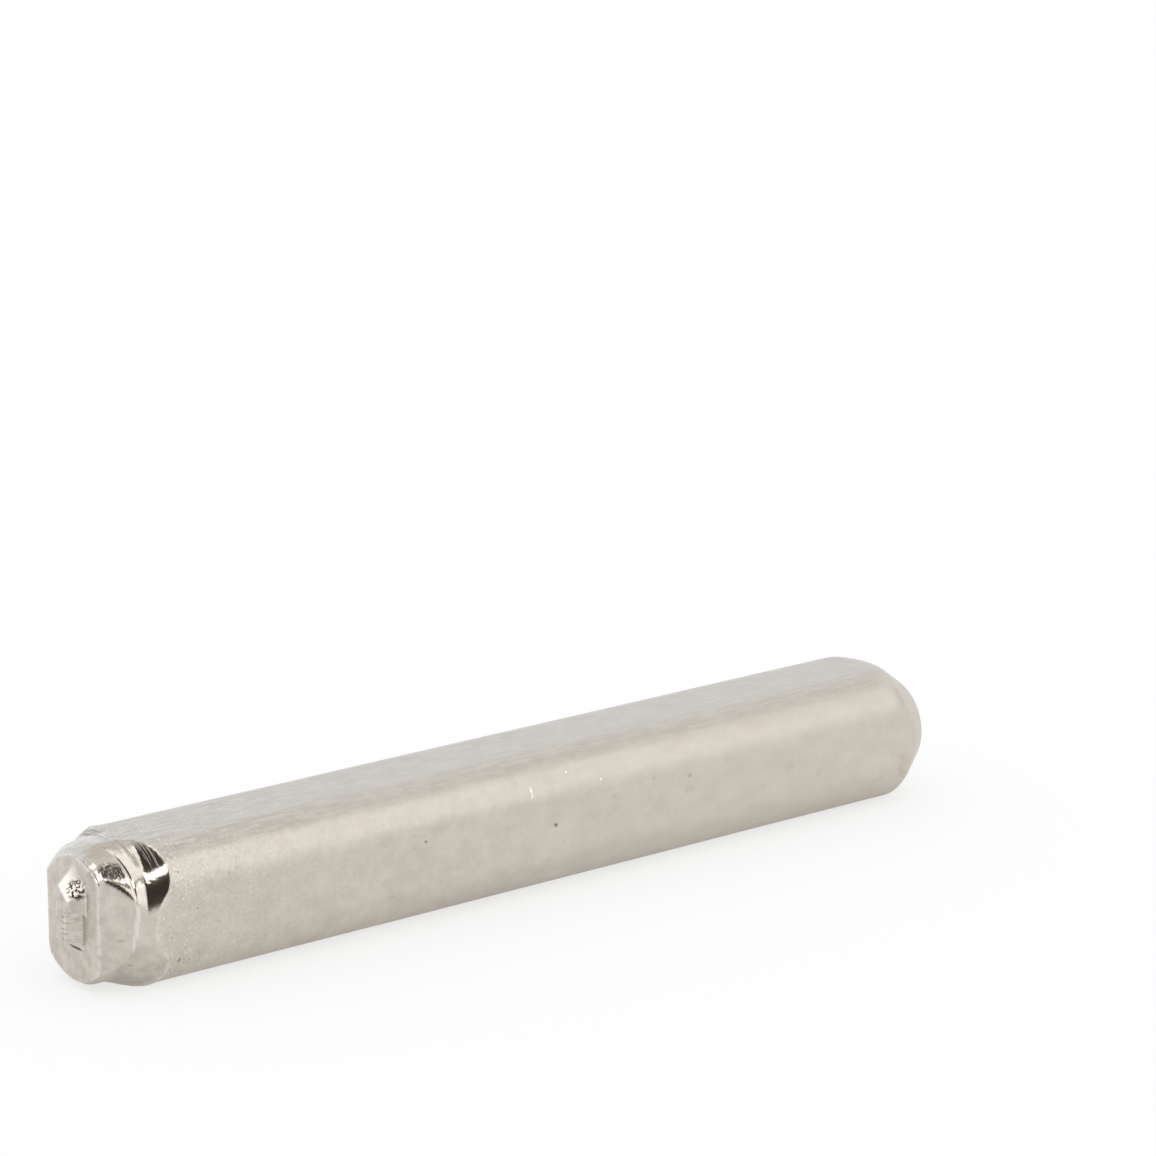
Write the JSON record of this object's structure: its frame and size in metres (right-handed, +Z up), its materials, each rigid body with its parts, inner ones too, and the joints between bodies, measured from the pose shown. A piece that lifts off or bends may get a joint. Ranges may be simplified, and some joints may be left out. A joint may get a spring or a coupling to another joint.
{
  "type": "number punch",
  "caption": "Square steel hand punch with a raised mirrored figure on its turned nose and a chamfered end for the hammer, in satin nickel plate.",
  "frame": {"origin": "under the middle of the bar, on the surface that its lower flat lies on", "axes": "+X along the bar from the figure towards the struck end, +Z up from the lower flat"},
  "size_m": [0.06, 0.008, 0.008],
  "materials": {
    "nickel_plated_steel": "satin nickel plate over hardened steel, frosted on the square shank and brighter on the turned nose"
  },
  "bodies": {
    "root": {"punch_body": "nickel_plated_steel"}
  },
  "joints": []
}
